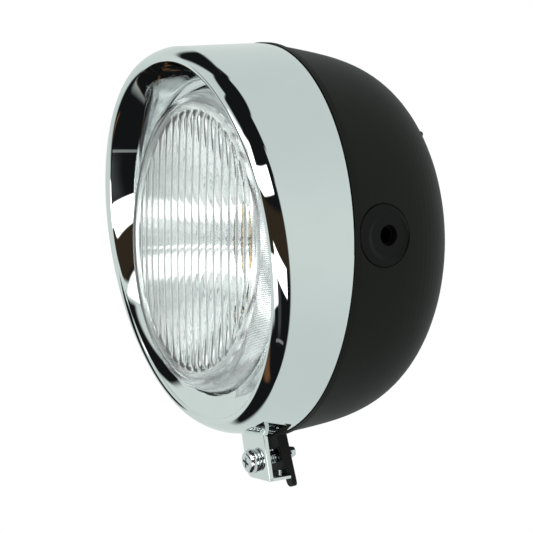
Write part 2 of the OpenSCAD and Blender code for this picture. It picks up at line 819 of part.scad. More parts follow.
// Rubber grommet in the back, open for the cable
module cable_grommet() {
    lamp_frame() color([0.1, 0.1, 0.1]) translate([0, 0, -entry_drop]) {
        collar(entry_groove_r, entry_r, pad_front - grommet_lip, pad_rear + grommet_lip);
        collar(grommet_r, entry_r, pad_front - snug - grommet_lip, pad_front - snug);
        collar(grommet_r, entry_r, pad_rear + snug, pad_rear + snug + grommet_lip);
    }
}

bowl();
chrome_ring();
ring_hook();
ring_tab();
front_gasket();
glass_lens();
reflector();
retaining_clips();
bulb_holder();
holder_spring();
bulb_base();
bulb_glass();
bulb_filament();
bulb_contacts();
parking_holder();
parking_bulb_base();
parking_bulb_glass();
parking_filament();
left_bush();
right_bush();
left_insert();
right_insert();
clamp_screw();
clamp_washer();
clamp_spring_washer();
clamp_nut();
terminal_block();
terminal_screws();
terminal_fixing_screw();
earth_screw();
cable_grommet();
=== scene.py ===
# %% [markdown]
# A round motorcycle headlight, dressed for its portrait.
# The packed model gives every rigid part at its real size. This lesson adds what a
# construction model leaves plain: a mirror-smooth chrome ring, glass with real flutes and
# ribs, a true parabola behind it, a threaded screw, and a finish for every surface.

# %% The frame
import json
import math

import bmesh
import bpy
from mathutils import Matrix, Vector


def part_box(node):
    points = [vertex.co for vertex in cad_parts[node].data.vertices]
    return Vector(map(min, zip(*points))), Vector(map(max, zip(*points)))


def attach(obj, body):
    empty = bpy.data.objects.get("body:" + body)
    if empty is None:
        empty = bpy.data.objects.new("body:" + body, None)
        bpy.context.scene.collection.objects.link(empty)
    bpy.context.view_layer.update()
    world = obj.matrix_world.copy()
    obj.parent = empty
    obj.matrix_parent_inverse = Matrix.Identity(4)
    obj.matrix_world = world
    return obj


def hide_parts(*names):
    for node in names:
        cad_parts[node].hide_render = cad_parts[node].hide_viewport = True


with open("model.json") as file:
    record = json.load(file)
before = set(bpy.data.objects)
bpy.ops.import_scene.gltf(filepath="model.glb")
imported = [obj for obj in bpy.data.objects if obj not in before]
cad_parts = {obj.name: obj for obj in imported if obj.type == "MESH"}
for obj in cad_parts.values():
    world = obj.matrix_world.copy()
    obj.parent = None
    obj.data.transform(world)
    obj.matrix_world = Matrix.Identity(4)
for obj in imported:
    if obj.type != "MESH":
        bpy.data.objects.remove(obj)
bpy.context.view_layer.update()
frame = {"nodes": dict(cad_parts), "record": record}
nodes = frame["nodes"]
MM = 0.001
print("packed nodes:", len(nodes))

# %% [markdown]
# The headlight is turned about one beam axis, which runs along Y. Its height comes from the
# glass, which is centred on it, and the seam between ring and bowl from the ring's rear edge.
# The places could be typed in, but read from the packed parts they are right by themselves.
# Everything below is drawn about that axis, with depths measured from the seam.

# %% The beam axis
SEAM_GAP = 0.3 * MM
glass_low, glass_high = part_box("glass_lens")
ring_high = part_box("chrome_ring")[1]
beam_z = (glass_low.z + glass_high.z) / 2
seam_y = ring_high.y + SEAM_GAP
BEAM = Matrix.Translation((0, seam_y, beam_z))
print("beam axis at z", round(beam_z, 5), "seam at y", round(seam_y, 5))

# %% [markdown]
# The camera first, because everything else is judged through it. The photograph was taken
# from about a metre away with a long lens, almost level and from the right front. A camera
# can be placed by its angles round the point it looks at, which is how a product is
# photographed, and a track quaternion then turns it towards that point.

# %% Camera
VIEW_AZIMUTH = math.radians(62.676)
VIEW_ELEVATION = math.radians(2.86)
VIEW_DISTANCE = 1.05599
AIM_ASIDE = 6.295 * MM
AIM_BELOW = 10.736 * MM
SENSOR = 36
IMAGE_SIDE = 533
FOCAL_PIXELS = 2600.11

toward = Vector((
    math.sin(VIEW_AZIMUTH) * math.cos(VIEW_ELEVATION),
    -math.cos(VIEW_AZIMUTH) * math.cos(VIEW_ELEVATION),
    math.sin(VIEW_ELEVATION),
))
camera_data = bpy.data.cameras.new("camera")
camera_data.sensor_width = SENSOR
camera_data.lens = FOCAL_PIXELS / IMAGE_SIDE * SENSOR
camera = bpy.data.objects.new("camera", camera_data)
camera.location = BEAM @ Vector((AIM_ASIDE, 0, -AIM_BELOW)) + toward * VIEW_DISTANCE
camera.rotation_euler = toward.to_track_quat("Z", "Y").to_euler()
bpy.context.scene.collection.objects.link(camera)
bpy.context.scene.camera = camera
bpy.context.scene.view_settings.view_transform = "Standard"
print("camera at", [round(c, 3) for c in camera.location])

# %% [markdown]
# Materials and the world are trees of nodes. Each node needs a line to add it, one for every
# setting and one for every link, so a few short helpers keep the lesson readable. They also
# let a socket take either a plain value or another node's output in the same way.

# %% Helpers for shader nodes
class Tree:
    """Short ways to add and join shader nodes in one tree."""

    def __init__(self, tree):
        self.nodes = tree.nodes
        self.links = tree.links

    def put(self, target, value):
        """Feeds an input with a plain value or from another node's output."""
        if isinstance(value, bpy.types.NodeSocket):
            self.links.new(value, target)
        else:
            target.default_value = value

    def add(self, kind, inputs=(), **settings):
        """Adds a node, sets it up and feeds its inputs."""
        node = self.nodes.new(kind)
        for name, value in settings.items():
            setattr(node, name, value)
        for socket, value in dict(inputs).items():
            self.put(node.inputs[socket], value)
        return node

    def math(self, operation, a, b=0.0, c=0.0):
        node = self.add("ShaderNodeMath", {0: a, 1: b, 2: c}, operation=operation)
        return node.outputs[0]

    def vector(self, operation, a, b):
        return self.add("ShaderNodeVectorMath", {0: a, 1: b}, operation=operation).outputs[0]

    def length(self, vector):
        return self.add("ShaderNodeVectorMath", {0: vector}, operation="LENGTH").outputs["Value"]

    def scaled(self, vector, factor):
        node = self.add("ShaderNodeVectorMath", {0: vector, "Scale": factor}, operation="SCALE")
        return node.outputs[0]

    def ramp(self, value, low, high, to_low=0.0, to_high=1.0):
        """Goes smoothly from one result to the other while the value goes from low to high."""
        node = self.add(
            "ShaderNodeMapRange",
            {"Value": value, "From Min": low, "From Max": high, "To Min": to_low, "To Max": to_high},
            interpolation_type="SMOOTHSTEP",
        )
        return node.outputs["Result"]

    def within(self, value, low, high, soft):
        """Gives 1 between low and high, and falls to 0 over the width soft."""
        rise = self.ramp(value, low - soft, low + soft)
        fall = self.ramp(value, high - soft, high + soft, 1.0, 0.0)
        return self.math("MULTIPLY", rise, fall)

    def mix(self, amount, a, b):
        """Mixes two colours, whose sockets come after those for numbers and vectors."""
        node = self.add("ShaderNodeMix", {"Factor": amount}, data_type="RGBA")
        self.put(node.inputs[6], a)
        self.put(node.inputs[7], b)
        return node.outputs[2]

    def noise(self, coordinate, scale, detail=2.0, roughness=0.5):
        settings = {"Vector": coordinate, "Scale": scale, "Detail": detail, "Roughness": roughness}
        return self.add("ShaderNodeTexNoise", settings).outputs["Fac"]


print("helpers:", [name for name in vars(Tree) if not name.startswith("_")])

# %% [markdown]
# Chrome shows the room, not itself. The room of this portrait is pale all round, but dark
# in front, where the camera stands between two soft boxes, one high and one low. Real cards
# and lamps could be hung round the model, but they would fall into some view, so the world
# holds the room as a function of direction. Camera rays see plain white.
#
# Each thing in the room is a patch, given by its compass direction and its height in
# degrees, each as a range from and to. Compass 0 is the side that the photograph shows, 90
# is straight ahead of the lamp, and 180 is its far side. Then come how soft the patch ends
# sideways and up, how much it leans for each degree sideways, and its colour. Later patches
# lie over earlier ones, as cards stand in front of a wall.

# %% The patches of the room
BLACK = (0.008, 0.0085, 0.009, 1)
BROWN = (0.034, 0.024, 0.015, 1)
GREY = (0.055, 0.058, 0.060, 1)
SILVER = (0.24, 0.25, 0.245, 1)
COPPER = (0.16, 0.075, 0.035, 1)
WHITE = (3.0, 3.0, 3.0, 1)
ROOM = (
    ("dark camera side", (3, 60), (-95, 57), (2.5, 4), 0.0, BLACK),
    ("dark wall above", (-20, 93), (41.4, 115), (3, 3), -0.29, BLACK),
    ("dark wall beside", (346, 380), (50, 95), (4, 3), 0.0, BLACK),
    ("dark floor ahead", (10, 190), (-95, -44), (6, 5), 0.0, BLACK),
    ("table edge", (4, 60), (-20, 12), (2, 3), 0.0, BROWN),
    ("grey card", (30, 42), (-57, -28), (3, 8), 0.0, GREY),
    ("thin line below", (16, 50), (-61.2, -59.2), (3, 0.5), -0.12, SILVER),
    ("copper patch below", (84, 108), (-78, -52), (7, 6), 0.0, COPPER),
    ("low shelf ahead", (74, 141), (2, 21), (3, 2), 0.0, BLACK),
    ("open ceiling", (-10, 370), (71, 95), (1, 2), 0.0, BLACK),
    ("dark beam", (158, 204), (38, 95), (6, 4), 0.0, BLACK),
    ("end of the beam", (200, 228), (62, 95), (4, 3), 0.0, BLACK),
    ("low soft box", (11, 42), (-30.5, -13.5), (0.8, 0.8), -0.35, WHITE),
    ("low side box", (42, 62), (-39, -15.5), (1.5, 1.5), 0.0, WHITE),
    ("high soft box", (12, 45), (18, 35), (0.8, 0.8), 0.25, WHITE),
    ("high side box", (45, 70), (14.5, 27), (1.5, 1.5), 0.0, WHITE),
    ("tall window", (47, 66), (26, 44), (2, 3), 0.0, WHITE),
    ("roof window", (66, 92), (32, 45), (2, 2), 0.0, WHITE),
)
print("patches:", ", ".join(patch[0] for patch in ROOM))

# %% [markdown]
# The world's direction comes as a vector. Its compass and its height are two arc functions
# away, and then each patch is one soft test in each of them, mixed over what lies beneath.

# %% The room
PALE = (0.71, 0.765, 0.745, 1)
PALE_HIGH = (0.63, 0.69, 0.675, 1)
PALE_LEVEL = 0.1

world = bpy.data.worlds.new("studio")
bpy.context.scene.world = world
world.use_nodes = True
world.node_tree.nodes.clear()
sky = Tree(world.node_tree)
direction = sky.add("ShaderNodeTexCoord").outputs["Generated"]
axes = sky.add("ShaderNodeSeparateXYZ", {"Vector": direction}).outputs
ahead = sky.math("MULTIPLY", axes["Y"], -1.0)
turned = sky.math("DEGREES", sky.math("ARCTAN2", ahead, axes["X"]))
compass = sky.math("FLOORED_MODULO", turned, 360.0)
height = sky.math("DEGREES", sky.math("ARCSINE", axes["Z"]))
steepness = sky.math("ABSOLUTE", axes["Z"])

room = sky.mix(sky.ramp(steepness, PALE_LEVEL, 1.0), PALE, PALE_HIGH)
for _, sides, levels, softness, lean, colour in ROOM:
    beside = sky.math("SUBTRACT", compass, sum(sides) / 2)
    leant_height = sky.math("ADD", height, sky.math("MULTIPLY", beside, lean))
    across = sky.within(compass, *sides, softness[0])
    upward = sky.within(leant_height, *levels, softness[1])
    room = sky.mix(sky.math("MULTIPLY", across, upward), room, colour)
print("room of", len(world.node_tree.nodes), "nodes")

# %% [markdown]
# Pressed glass gathers light from every side, so it would look dull before so dark a front.
# A brighter room would spoil the chrome. So only rays that have passed the glass meet it:
# pale, with white bands for the soft boxes and a bar between them, and some grey shapes that
# give the flutes something to break up.

# %% The room as the glass gathers it
GATHERED = (0.98, 1.03, 1.025, 1)
GATHERED_GREY = (0.30, 0.34, 0.345, 1)
GATHERED_PALE = (1.38, 1.43, 1.43, 1)
GATHERED_WHITE = (2.8, 2.8, 2.8, 1)
CAMERA_WHITE = (1, 1, 1, 1)
GREY_SCALE = 4.5
GREY_FROM, GREY_TO = 0.52, 0.62
POLE_FROM, POLE_TO = 0.66, 0.95
HIGH_BAND = (11, 27)
LOW_BAND = (-26, -14)
BAND_SOFT = 2
WINDOW_BAR = (5.2, 6.8)
BAR_SOFT = 0.5

grey_shapes = sky.ramp(sky.noise(direction, GREY_SCALE), GREY_FROM, GREY_TO)
gathered = sky.mix(grey_shapes, GATHERED, GATHERED_GREY)
high_band = sky.within(height, *HIGH_BAND, BAND_SOFT)
low_band = sky.within(height, *LOW_BAND, BAND_SOFT)
window_bar = sky.within(height, *WINDOW_BAR, BAR_SOFT)
bands = sky.math("MAXIMUM", sky.math("MAXIMUM", high_band, low_band), window_bar)
gathered = sky.mix(sky.ramp(steepness, POLE_FROM, POLE_TO), gathered, GATHERED_PALE)
gathered = sky.mix(bands, gathered, GATHERED_WHITE)

ray = sky.add("ShaderNodeLightPath").outputs
through_glass = sky.math("GREATER_THAN", ray["Transmission Depth"], 0.5)
lit = sky.mix(through_glass, room, gathered)
seen = sky.mix(ray["Is Camera Ray"], lit, CAMERA_WHITE)
background = sky.add("ShaderNodeBackground", {"Color": seen, "Strength": 1.0})
sky.add("ShaderNodeOutputWorld", {"Surface": background.outputs[0]})
print("room ready, with", len(world.node_tree.nodes), "nodes")

# %% [markdown]
# The lamp hangs on its side holes, and the floor is a pale disc well below it. It is there
# for the camera alone, so mirrors and glass look past it to the room.

# %% Floor
FLOOR_Z = -0.42
FLOOR_RADIUS = 1.5
FLOOR_SIDES = 96


def place_object(name, data):
    """Links a new object into the scene. It stays at the origin."""
    made = bpy.data.objects.new(name, data)
    bpy.context.scene.collection.objects.link(made)
    return made


floor_mesh = bpy.data.meshes.new("floor")
bm = bmesh.new()
bmesh.ops.create_circle(bm, cap_ends=True, radius=FLOOR_RADIUS, segments=FLOOR_SIDES)
bmesh.ops.translate(bm, verts=bm.verts, vec=(0, 0, FLOOR_Z))
bm.to_mesh(floor_mesh)
bm.free()
floor = place_object("floor", floor_mesh)
floor.visible_glossy = False
floor.visible_transmission = False
floor.visible_diffuse = False
floor.visible_shadow = False
print("floor at z", FLOOR_Z)

# %% [markdown]
# A plain disc would end in a hard edge, and a large plane would show a horizon. So the disc
# fades out with the distance from its middle, between two radii. From below it is clear, so
# that the lamp can be looked at from there too.

# %% Finish of the floor
FADE_FROM, FADE_TO = 0.5, 1.45
FLOOR_COLOUR = (0.93, 0.93, 0.93, 1)

floor_finish = bpy.data.materials.new("pale floor")
floor_finish.use_nodes = True
floor_finish.node_tree.nodes.clear()
tree = Tree(floor_finish.node_tree)
where = tree.add("ShaderNodeTexCoord").outputs["Object"]
away = tree.length(tree.vector("MULTIPLY", where, (1, 1, 0)))
from_below = tree.add("ShaderNodeNewGeometry").outputs["Backfacing"]
clearness = tree.math("MAXIMUM", tree.ramp(away, FADE_FROM, FADE_TO), from_below)
pale = tree.add("ShaderNodeBsdfDiffuse", {"Color": FLOOR_COLOUR}).outputs[0]
clear = tree.add("ShaderNodeBsdfTransparent").outputs[0]
blend = tree.add("ShaderNodeMixShader", {0: clearness, 1: pale, 2: clear}).outputs[0]
tree.add("ShaderNodeOutputMaterial", {"Surface": blend})
floor_mesh.materials.append(floor_finish)
print("floor fades from", FADE_FROM, "m")

# %% [markdown]
# The room already lights the lamp from all round. Two soft lamps add what a room can't: a
# brighter top and a faint light along the bowl's side. They are round area lamps, because
# their light falls off gently, and mirrors don't see them.

# %% Lamps
def area_lamp(name, at, size, power):
    """A soft round lamp that points at the origin."""
    light = bpy.data.lights.new(name, "AREA")
    light.shape = "DISK"
    light.size = size
    light.energy = power
    lamp = place_object(name, light)
    lamp.location = at
    lamp.rotation_euler = Vector(at).to_track_quat("Z", "Y").to_euler()
    lamp.visible_glossy = False
    lamp.visible_transmission = False


area_lamp("overhead", at=(0.3, 0.2, 1.5), size=1.4, power=8)
area_lamp("side fill", at=(1.5, 0.5, 0.5), size=1.0, power=2)
print("lamps:", [light.name for light in bpy.data.lights])

# %% [markdown]
# Moulded plastic and rubber have a fine grain and a faint mottle, and no metal is evenly
# glossy. Both effects return on several finishes, so each is a node group, built once and
# placed in every material with its own values. A group gives out a value or a normal, and
# the shader itself stays in each material.

# %% Moulded grain
MOTTLE_SCALE = 45.0
GRAIN_HEIGHT = 0.1 * MM


def new_group(name, inputs, outputs):
    """A node group with named inputs and outputs, and the tree to fill it."""
    group = bpy.data.node_groups.new(name, "ShaderNodeTree")
    for label, kind, default in inputs:
        socket = group.interface.new_socket(label, in_out="INPUT", socket_type=kind)
        if default is not None:
            socket.default_value = default
    for label, kind in outputs:
        group.interface.new_socket(label, in_out="OUTPUT", socket_type=kind)
    tree = Tree(group)
    return group, tree, tree.add("NodeGroupInput").outputs


grain_group, tree, given = new_group(
    "moulded grain",
    [("Vector", "NodeSocketVector", None), ("Size", "NodeSocketFloat", 2600.0),
     ("Depth", "NodeSocketFloat", 0.15), ("Mottle", "NodeSocketFloat", 0.12)],
    [("Normal", "NodeSocketVector"), ("Shade", "NodeSocketFloat")],
)
fine = tree.noise(given["Vector"], given["Size"], detail=3.0, roughness=0.6)
bump = tree.add(
    "ShaderNodeBump",
    {"Strength": given["Depth"], "Distance": GRAIN_HEIGHT, "Height": fine},
)
broad = tree.noise(given["Vector"], MOTTLE_SCALE, detail=4.0)
shade = tree.math("MULTIPLY_ADD", tree.math("SUBTRACT", broad, 0.5), given["Mottle"], 1.0)
tree.add("NodeGroupOutput", {"Normal": bump.outputs["Normal"], "Shade": shade})
print("grain group:", len(grain_group.nodes), "nodes")

# %% [markdown]
# Wiped and polished metal is a little glossier in some places than in others. A broad noise
# added to the roughness gives that, and keeps a highlight from looking drawn with a ruler.

# %% Uneven gloss
gloss_group, tree, given = new_group(
    "uneven gloss",
    [("Vector", "NodeSocketVector", None), ("Roughness", "NodeSocketFloat", 0.05),
     ("Spread", "NodeSocketFloat", 0.02), ("Scale", "NodeSocketFloat", 90.0)],
    [("Roughness", "NodeSocketFloat")],
)
uneven = tree.noise(given["Vector"], given["Scale"], detail=5.0, roughness=0.65)
spread = tree.math("MULTIPLY", tree.math("SUBTRACT", uneven, 0.5), given["Spread"])
tree.add("NodeGroupOutput", {"Roughness": tree.math("ADD", given["Roughness"], spread)})
print("gloss group:", len(gloss_group.nodes), "nodes")

# %% [markdown]
# Every finish is one Principled shader that reads the place on the piece, and every finish
# has an uneven gloss. What they share is made once, here, so that each kind of material
# below says only what is its own.

# %% What all finishes share
def new_finish(name):
    """A new material, its tree, its shader's inputs and the place on the piece."""
    material = bpy.data.materials.new(name)
    material.use_nodes = True
    tree = Tree(material.node_tree)
    sockets = material.node_tree.nodes["Principled BSDF"].inputs
    where = tree.add("ShaderNodeTexCoord").outputs["Object"]
    return material, tree, sockets, where


def uneven_roughness(tree, sockets, where, roughness, spread):
    """Gives a finish a roughness that varies by a spread."""
    gloss = tree.add(
        "ShaderNodeGroup",
        {"Vector": where, "Roughness": roughness, "Spread": spread},
        node_tree=gloss_group,
    )
    tree.put(sockets["Roughness"], gloss.outputs["Roughness"])


print("shared by all finishes:", gloss_group.name)

# %% [markdown]
# A metal takes its colour from the base colour and everything else from its reflections.
# One function makes them all: chrome, the silvered dish, zinc plate, brass and wire differ
# only in colour, roughness and how stained they are.

# %% Metals
TINT_SCALE = 60.0
TINT_FROM, TINT_TO = 0.3, 0.7


def metal(name, colour, roughness, spread, stain=0.94):
    """A bare or plated metal. Its darkest places have a share, stain, of its colour."""
    material, tree, sockets, where = new_finish(name)
    tree.put(sockets["Metallic"], 1.0)
    tint = tree.noise(where, TINT_SCALE, detail=3.0)
    darker = tuple(channel * stain for channel in colour[:3]) + (1,)
    tree.put(sockets["Base Color"], tree.mix(tree.ramp(tint, TINT_FROM, TINT_TO), darker, colour))
    uneven_roughness(tree, sockets, where, roughness, spread)
    return material


chrome = metal("bright chrome", (0.80, 0.845, 0.835, 1), roughness=0.02, spread=0.012, stain=0.985)
mirror = metal("silvered reflector", (0.86, 0.87, 0.865, 1), roughness=0.05, spread=0.03)
zinc = metal("bright zinc", (0.74, 0.77, 0.79, 1), roughness=0.14, spread=0.08)
# Near-black steel for the inserts: painted shade for the holes of the side bushes.
hole_shade_steel = metal("steel darkened for hole shade", (0.030, 0.029, 0.028, 1), roughness=0.5, spread=0.12)
spring_steel = metal("spring steel", (0.40, 0.41, 0.42, 1), roughness=0.34, spread=0.12)
brass = metal("plain brass", (0.72, 0.50, 0.22, 1), roughness=0.22, spread=0.12)
tungsten = metal("drawn wire", (0.42, 0.40, 0.38, 1), roughness=0.4, spread=0.1)
print("metals ready, the first is", chrome.name)

# %% [markdown]
# The bowl is a matt black moulding, its bushes are a smoother one, and the grommet is rubber.
# What tells them apart is the size and depth of the grain, and how strongly the surface
# shines, so those are the values of one function.

# %% Mouldings
MOULD_SPREAD = 0.08


def moulding(name, colour, roughness, specular, size, depth, mottle):
    """Moulded plastic or rubber, with a grain of a size and depth and a faint mottle."""
    material, tree, sockets, where = new_finish(name)
    grain = tree.add(
        "ShaderNodeGroup",
        {"Vector": where, "Size": size, "Depth": depth, "Mottle": mottle},
        node_tree=grain_group,
    )
    tree.put(sockets["Base Color"], tree.scaled(colour, grain.outputs["Shade"]))
    tree.put(sockets["Normal"], grain.outputs["Normal"])
    tree.put(sockets["Specular IOR Level"], specular)
    uneven_roughness(tree, sockets, where, roughness, MOULD_SPREAD)
    return material


black_plastic = moulding(
    "black moulding", (0.0085, 0.009, 0.0078),
    roughness=0.5, specular=0.11, size=2600.0, depth=0.12, mottle=0.3,
)
bush_plastic = moulding(
    "smooth black moulding", (0.0042, 0.0046, 0.004),
    roughness=0.42, specular=0.12, size=3400.0, depth=0.06, mottle=0.2,
)
black_rubber = moulding(
    "black rubber", (0.010, 0.010, 0.010),
    roughness=0.62, specular=0.2, size=1500.0, depth=0.2, mottle=0.3,
)
cream_plastic = moulding(
    "cream moulding", (0.62, 0.58, 0.47),
    roughness=0.42, specular=0.4, size=2200.0, depth=0.1, mottle=0.08,
)
print("mouldings ready, the first is", black_plastic.name)

# %% [markdown]
# Both kinds of glass are clear, with the light's path bent by their index. The bulbs are
# blown and quite smooth, and the front glass is pressed, so its skin is a little uneven.

# %% Clear glass
GLASS_INDEX = 1.5
GLASS_CLEAR = (0.98, 1.0, 0.99, 1)


def clear_glass(name, colour, roughness):
    material, tree, sockets, where = new_finish(name)
    tree.put(sockets["Base Color"], colour)
    tree.put(sockets["Transmission Weight"], 1.0)
    tree.put(sockets["IOR"], GLASS_INDEX)
    uneven_roughness(tree, sockets, where, roughness, spread=roughness)
    return material


lens_glass = clear_glass("pressed glass", GLASS_CLEAR, roughness=0.012)
bulb_clear = clear_glass("blown glass", (0.98, 0.99, 1.0, 1), roughness=0.006)
print("glass ready:", lens_glass.name, "and", bulb_clear.name)

# %% [markdown]
# The border of the pressed glass is milky and carries several hundred fine ribs. The ribs
# are modelled further on, but each is barely two pixels wide in the portrait, so their shade
# is painted over them: the glass's colour darkens to grey in a wave round the beam axis. Both
# follow the distance to that axis, and a texture painted on the mesh isn't needed.

# %% Milky border of the glass, with the painted shade of its ribs
MILKY_FROM = 52.8 * MM
MILKY_TO = 55 * MM
MILKY_ROUGHNESS = 0.16
RIBS = 480
RIBBED_FROM = 54.6 * MM
RIB_FADE = 0.8 * MM
RIB_LOW, RIB_HIGH = -0.9, 0.5
RIB_SHADE = (0.60, 0.63, 0.63, 1)


def about_axis(tree, centre, square):
    """The place from a point on an axis, and the distance to the axis.

    square has a 1 for the two directions that are square to the axis and a 0 along it.
    """
    where = tree.add("ShaderNodeTexCoord").outputs["Object"]
    place = tree.vector("SUBTRACT", where, centre)
    return place, tree.length(tree.vector("MULTIPLY", place, square))


def fed_from(socket):
    """The output that feeds an input now, so that something can be put between them."""
    return socket.links[0].from_socket


tree = Tree(lens_glass.node_tree)
sockets = lens_glass.node_tree.nodes["Principled BSDF"].inputs
place, distance = about_axis(tree, centre=(0, 0, beam_z), square=(1, 0, 1))
milky = tree.math("MULTIPLY", tree.ramp(distance, MILKY_FROM, MILKY_TO), MILKY_ROUGHNESS)
tree.put(sockets["Roughness"], tree.math("ADD", fed_from(sockets["Roughness"]), milky))
sides = tree.add("ShaderNodeSeparateXYZ", {"Vector": place}).outputs
wave = tree.math("SINE", tree.math("MULTIPLY", tree.math("ARCTAN2", sides["Z"], sides["X"]), RIBS))
on_border = tree.ramp(distance, RIBBED_FROM, RIBBED_FROM + RIB_FADE)
# Painted shade of the ribs: on the border the glass's colour darkens to grey with each rib.
ribbed = tree.math("MULTIPLY", on_border, tree.ramp(wave, RIB_LOW, RIB_HIGH, 1.0, 0.0))
tree.put(sockets["Base Color"], tree.mix(ribbed, GLASS_CLEAR, RIB_SHADE))
print("border milky from", round(MILKY_FROM / MM, 1), "mm, with", RIBS, "ribs")

# %% [markdown]
# The packed record says which kind of material each part has. A table turns that kind into
# a finish, and a loop dresses every part. The bushes are dressed again afterwards, because they
# are darker than the other parts of their kind. The tapped inserts in them get a near-black
# steel, which is painted shade for the deep holes they sit in.

# %% A finish for every packed part
finish_of_slot = {
    "black_plastic": black_plastic, "chrome": chrome, "lens_glass": lens_glass,
    "reflector_silver": mirror, "bulb_glass": bulb_clear, "brass": brass,
    "tungsten": tungsten, "zinc_steel": zinc, "spring_steel": spring_steel,
    "black_rubber": black_rubber, "cream_plastic": cream_plastic,
}
slot_of_node = {part["node"]: part["material_slot"] for part in frame["record"]["subparts"]}
for name, node in nodes.items():
    node.data.materials.clear()
    node.data.materials.append(finish_of_slot[slot_of_node[name]])
for side in ("left", "right"):
    # The inserts get painted shade for their holes, and the bushes get their own darker moulding.
    nodes[side + "_insert"].data.materials[0] = hole_shade_steel
    nodes[side + "_bush"].data.materials[0] = bush_plastic
print("finishes:", len(finish_of_slot))

# %% [markdown]
# The side bushes are pressed into the bowl, and shade falls into the thin seam round each of them.
# The packed parts stay as they are, so the seam isn't cut. Its shade is painted instead: the seam is a
# ring of the bush's radius round the bush's own axis, so it can be drawn on bowl and bush alike from
# the distance to that axis, both as a painted dark line of shade and as the bump of a groove.

# %% Painted shade in the seam round the side bushes
SEAM_BACK = -2.4 * MM
SEAM_R = 12.2 * MM
SEAM_HALF = 0.24 * MM
SEAM_SHADE = 0.12
SEAM_DEEP = 0.9 * MM


def paint_seam_shade(material):
    """Paints the groove's shade round a side bush on one of the mouldings, and adds the groove's bump.
    """
    tree = Tree(material.node_tree)
    sockets = material.node_tree.nodes["Principled BSDF"].inputs
    distance = about_axis(tree, centre=(0, SEAM_BACK, 0), square=(0, 1, 1))[1]
    seam = tree.within(distance, SEAM_R - SEAM_HALF, SEAM_R + SEAM_HALF, SEAM_HALF)
    # Painted shade: along the seam the base colour keeps only a small share of itself.
    keep = tree.ramp(seam, 0.0, 1.0, 1.0, SEAM_SHADE)
    tree.put(sockets["Base Color"], tree.scaled(fed_from(sockets["Base Color"]), keep))
    groove = tree.add(
        "ShaderNodeBump",
        {"Strength": 1.0, "Distance": SEAM_DEEP, "Height": seam, "Normal": fed_from(sockets["Normal"])},
        invert=True,
    )
    tree.put(sockets["Normal"], groove.outputs["Normal"])


for moulded in (black_plastic, bush_plastic):
    paint_seam_shade(moulded)
print("seam drawn at radius", round(SEAM_R / MM, 1), "mm")

# %% [markdown]
# A turned part is a profile of a few points carried round the beam axis. A lathe modifier
# could do it, but the spin operator does it in one step and leaves a plain mesh to work on.
# Profiles are drawn in millimetres as radius and depth, with arcs and bends as formulas, so
# that a curve can be made finer by one number.

# %% Turned parts
def arc(centre, radius, start, end, steps):
    """Points on an arc, with angles in degrees from straight ahead towards the rim."""
    cx, cy = centre
    angles = [math.radians(start + (end - start) * i / steps) for i in range(steps + 1)]
    return [(cx + radius * math.sin(a), cy - radius * math.cos(a)) for a in angles]


def bend(a, b, c, steps):
    """Points on a smooth bend from a to c that pulls towards b."""
    return [
        tuple((1 - t) ** 2 * a[k] + 2 * t * (1 - t) * b[k] + t * t * c[k] for k in range(2))
        for t in (i / steps for i in range(steps + 1))
    ]


def turn(bm, profile, steps, closed=True):
    """Spins a profile of (radius, depth) points in millimetres fully round the Y axis."""
    verts = [bm.verts.new((r * MM, y * MM, 0)) for r, y in profile]
    ends = verts[1:] + verts[:1] if closed else verts[1:]
    edges = [bm.edges.new(pair) for pair in zip(verts, ends)]
    bmesh.ops.spin(
        bm, geom=verts + edges, cent=(0, 0, 0), axis=(0, 1, 0), dvec=(0, 0, 0),
        angle=2 * math.pi, steps=steps, use_merge=True, use_duplicate=False,
    )


def radius_of(vert):
    """Distance of a vertex from the beam axis, in millimetres."""
    return math.hypot(vert.co.x, vert.co.z) / MM


print("an arc of 4 steps:", [tuple(round(c, 2) for c in point) for point in arc((0, 0), 1, 0, 90, 4)])

# %% [markdown]
# Every finished piece goes the same way: it moves to its place in the lamp, its faces are
# turned outwards, and it stands for one packed part. Smooth shading up to an angle keeps the
# curves soft and the real edges sharp.

# %% Finishing a piece
def finish_piece(bm, name, material, stands_for, place=BEAM, smooth=40):
    """Moves a mesh into place and makes it a piece that stands for a packed part."""
    bmesh.ops.transform(bm, matrix=place, verts=bm.verts)
    bmesh.ops.recalc_face_normals(bm, faces=bm.faces)
    mesh = bpy.data.meshes.new(name)
    bm.to_mesh(mesh)
    bm.free()
    mesh.materials.append(material)
    for face in mesh.polygons:
        face.use_smooth = True
    mesh.set_sharp_from_angle(angle=math.radians(smooth))
    piece = place_object(name, mesh)
    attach(piece, "root")
    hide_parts(stands_for)
    print(name, len(mesh.polygons), "faces")


print("beam axis drawn about", [round(c, 4) for c in BEAM.translation])

# %% [markdown]
# The chrome ring is one pressed and plated sheet: a band, a crease, a rounded shoulder, a
# rolled lip and a wall that runs back to the glass. The roll turns tightly on its outside
# and more fully on its inside, where its widest highlight lies, so it is two arcs that meet.

# %% The ring's roll
RING_REAR_R = ring_high.x / MM
ROLL_R = 1.25
ROLL_AT = (73.85, -33.0)
ROLL_FROM = 45
FULL_R = 4.0
FULL_FROM = -20
FULL_TO = -57
TIGHT_STEPS = 9
FULL_STEPS = 10

full_at = (
    ROLL_AT[0] + (ROLL_R - FULL_R) * math.sin(math.radians(FULL_FROM)),
    ROLL_AT[1] - (ROLL_R - FULL_R) * math.cos(math.radians(FULL_FROM)),
)
tight_roll = arc(ROLL_AT, ROLL_R, ROLL_FROM, FULL_FROM, TIGHT_STEPS)
roll = tight_roll + arc(full_at, FULL_R, FULL_FROM, FULL_TO, FULL_STEPS)[1:]
print("roll of", len(roll), "points")

# %% [markdown]
# The rest of the ring's skin joins onto that roll. A sharp crease would catch no light, so it
# gets a small radius. The shoulder and the wall are bends with one pull each, because a
# mirror shows every kink between short arcs. The rear edge is turned in a little. Where a
# stretch has a few odd points, they are pairs of how far in and how far ahead they lie.

